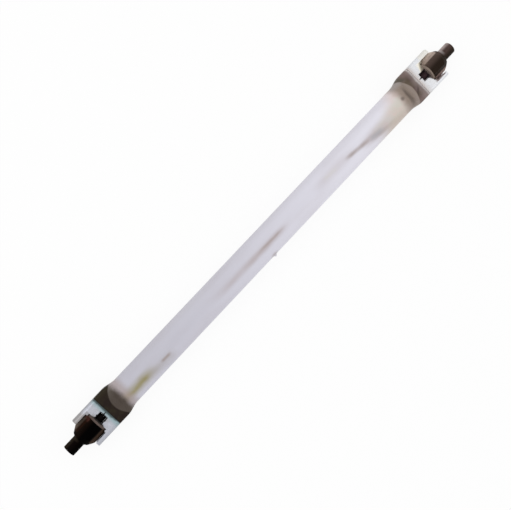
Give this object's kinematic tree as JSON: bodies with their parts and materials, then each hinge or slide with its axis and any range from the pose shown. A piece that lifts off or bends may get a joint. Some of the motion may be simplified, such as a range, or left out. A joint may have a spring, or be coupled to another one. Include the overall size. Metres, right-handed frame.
{
  "type": "metal halide lamp",
  "caption": "Long double-ended metal halide lamp: frosted quartz tube pinched flat at each end, with a folded metal clip, hexagonal terminal and round contact pin.",
  "frame": {"origin": "middle of the lamp, on its axis", "axes": "+X along the lamp from the left to the right contact pin, +Z square to the flat pinches, +Y completes the right-handed set; the stem of the exhaust tip points along -Y"},
  "size_m": [0.355, 0.0226, 0.0194],
  "materials": {
    "frosted_quartz": "frosted",
    "oxidised_steel": "oxidised dark brown",
    "washer_steel": "dull, brown tinted",
    "clip_sheet": "bright nickel, heat tinted at its inner edge",
    "burnt_ferrule": "burnt black",
    "molybdenum": "dull grey",
    "tungsten": "dark grey"
  },
  "bodies": {
    "root": {"arc_tube": "frosted_quartz", "left_terminal": "oxidised_steel", "right_terminal": "oxidised_steel", "left_washer": "washer_steel", "right_washer": "washer_steel", "left_end_clip": "clip_sheet", "right_end_clip": "clip_sheet", "left_ferrule": "burnt_ferrule", "right_ferrule": "burnt_ferrule", "left_lead_rod": "molybdenum", "right_lead_rod": "molybdenum", "left_seal_foil": "molybdenum", "right_seal_foil": "molybdenum", "left_electrode_rod": "tungsten", "right_electrode_rod": "tungsten", "left_electrode_coil": "tungsten", "right_electrode_coil": "tungsten"}
  },
  "joints": []
}
